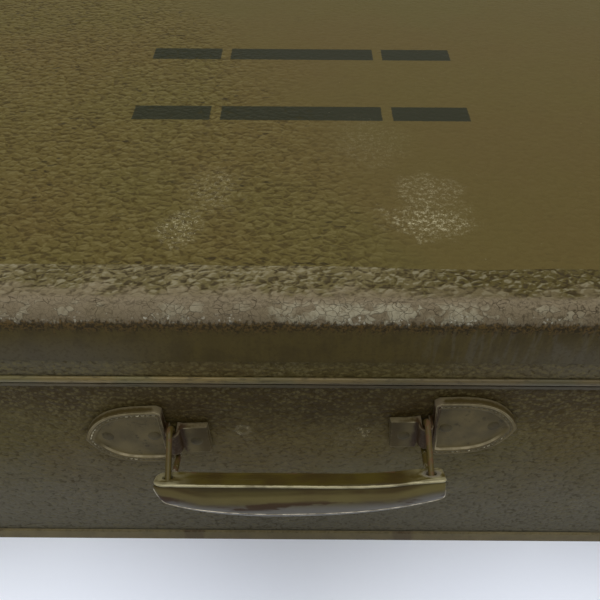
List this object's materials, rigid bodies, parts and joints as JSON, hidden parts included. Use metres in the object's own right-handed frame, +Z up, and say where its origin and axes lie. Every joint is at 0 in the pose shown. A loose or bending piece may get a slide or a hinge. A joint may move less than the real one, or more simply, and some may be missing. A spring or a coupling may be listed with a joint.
{
  "type": "suitcase",
  "caption": "Flat hard-sided suitcase of cloth-covered fibre board with a hinged lid, bound edges, two sliding-bolt latches and a carrying handle on wire rings.",
  "frame": {"origin": "middle of the underside, on the surface the case lies on", "axes": "+X along the width to the right as seen from the handle side, -Y towards the handle, +Z up through the lid"},
  "size_m": [0.6156, 0.4481, 0.1825],
  "materials": {
    "cloth": "olive coated pebble-grain cloth over board, scuffed",
    "binding": "worn, dusty and crackled olive binding",
    "rail": "olive painted rail worn towards brass",
    "lining": "plain tan woven lining",
    "leather": "dark olive painted leather, stitched, worn at the edges",
    "painted_steel": "glossy olive paint, chipped to steel",
    "latch_metal": "dull brassed steel with traces of olive paint",
    "bare_steel": "bare steel, slightly tarnished"
  },
  "bodies": {
    "case_base": {"base_shell": "cloth", "base_floor_binding": "binding", "base_rail": "rail", "base_lining": "lining", "base_cap_front_left": "leather", "base_cap_front_right": "leather", "base_cap_rear_left": "leather", "base_cap_rear_right": "leather", "handle_shield_left": "leather", "handle_strap_left": "leather", "handle_rivets_left": "latch_metal", "latch_case_left": "latch_metal", "latch_rivets_left": "latch_metal", "hinge_leaf_base_left": "latch_metal", "hinge_pin_left": "bare_steel", "hinge_rivets_base_left": "latch_metal", "handle_shield_right": "leather", "handle_strap_right": "leather", "handle_rivets_right": "latch_metal", "latch_case_right": "latch_metal", "latch_rivets_right": "latch_metal", "hinge_leaf_base_right": "latch_metal", "hinge_pin_right": "bare_steel", "hinge_rivets_base_right": "latch_metal"},
    "lid": {"lid_shell": "cloth", "lid_edge_binding": "binding", "lid_rail": "rail", "lid_lining": "lining", "lid_cap_front_left": "leather", "lid_cap_front_right": "leather", "lid_cap_rear_left": "leather", "lid_cap_rear_right": "leather", "hasp_bracket_left": "latch_metal", "hasp_pin_left": "bare_steel", "hasp_rivets_left": "latch_metal", "hinge_leaf_lid_left": "latch_metal", "hinge_rivets_lid_left": "latch_metal", "hasp_bracket_right": "latch_metal", "hasp_pin_right": "bare_steel", "hasp_rivets_right": "latch_metal", "hinge_leaf_lid_right": "latch_metal", "hinge_rivets_lid_right": "latch_metal"},
    "handle": {"handle_ring_left": "painted_steel", "handle_ring_right": "painted_steel", "grip_plate": "painted_steel", "grip_body": "painted_steel"},
    "hasp_left": {"hasp_left": "latch_metal"},
    "latch_slide_left": {"latch_bolt_left": "bare_steel", "latch_button_left": "latch_metal", "latch_spring_left": "bare_steel"},
    "hasp_right": {"hasp_right": "latch_metal"},
    "latch_slide_right": {"latch_bolt_right": "bare_steel", "latch_button_right": "latch_metal", "latch_spring_right": "bare_steel"}
  },
  "joints": [
    {"name": "lid_hinge", "type": "hinge", "parent": "case_base", "child": "lid", "pos_m": [0, 0.2047, 0.1362], "axis": [-1, 0, 0], "range_deg": [0, 105]},
    {"name": "handle_swing", "type": "hinge", "parent": "case_base", "child": "handle", "pos_m": [0, -0.20402, 0.1036], "axis": [-0.9984, 0, -0.0558], "range_deg": [0, 22]},
    {"name": "hasp_swing_left", "type": "hinge", "parent": "lid", "child": "hasp_left", "pos_m": [-0.195, -0.2042, 0.142], "axis": [-1, 0, 0], "range_deg": [0, 150]},
    {"name": "latch_slide_left", "type": "slide", "parent": "case_base", "child": "latch_slide_left", "axis": [-1, 0, 0], "range_m": [0, 0.005], "stiffness_N_per_m": 150, "springref_m": -0.002},
    {"name": "hasp_swing_right", "type": "hinge", "parent": "lid", "child": "hasp_right", "pos_m": [0.195, -0.2042, 0.142], "axis": [-1, 0, 0], "range_deg": [0, 150]},
    {"name": "latch_slide_right", "type": "slide", "parent": "case_base", "child": "latch_slide_right", "axis": [1, 0, 0], "range_m": [0, 0.005], "stiffness_N_per_m": 150, "springref_m": -0.002}
  ]
}
